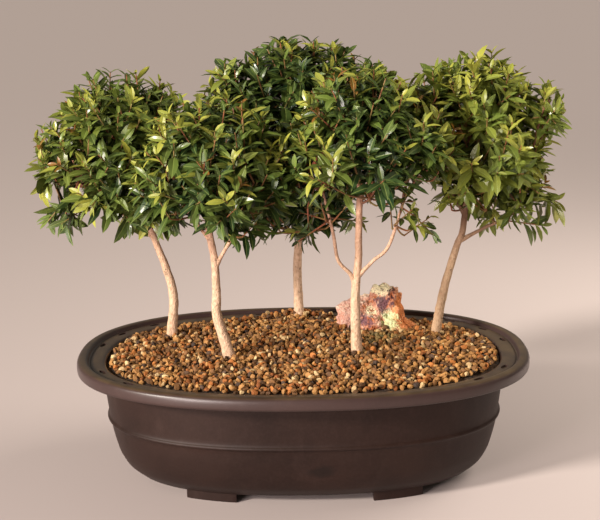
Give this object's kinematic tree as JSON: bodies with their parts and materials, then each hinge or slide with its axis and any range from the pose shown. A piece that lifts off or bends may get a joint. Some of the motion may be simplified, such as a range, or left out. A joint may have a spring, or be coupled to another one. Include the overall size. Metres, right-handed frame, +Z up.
{
  "type": "brush cherry forest bonsai",
  "caption": "Forest planting of small brush cherry trees in a long oval plastic pot, with gravel top dressing and a rust-coloured stone.",
  "frame": {"origin": "under the middle of the pot, at the height its feet stand on", "axes": "+X along the pot, -Y the front, +Z up"},
  "size_m": [0.462, 0.2858, 0.3624],
  "materials": {
    "pot": "satin",
    "soil": "matte",
    "gravel": "matte",
    "rock": "matte",
    "bark": "matte",
    "foliage": "satin"
  },
  "bodies": {
    "root": {"pot": "pot", "soil": "soil", "gravel": "gravel", "rock": "rock", "trunk_1": "bark", "trunk_2": "bark", "trunk_3": "bark", "trunk_4": "bark", "trunk_5": "bark", "crown_1": "foliage", "crown_2": "foliage", "crown_3": "foliage", "crown_4": "foliage", "crown_5": "foliage"}
  },
  "joints": []
}
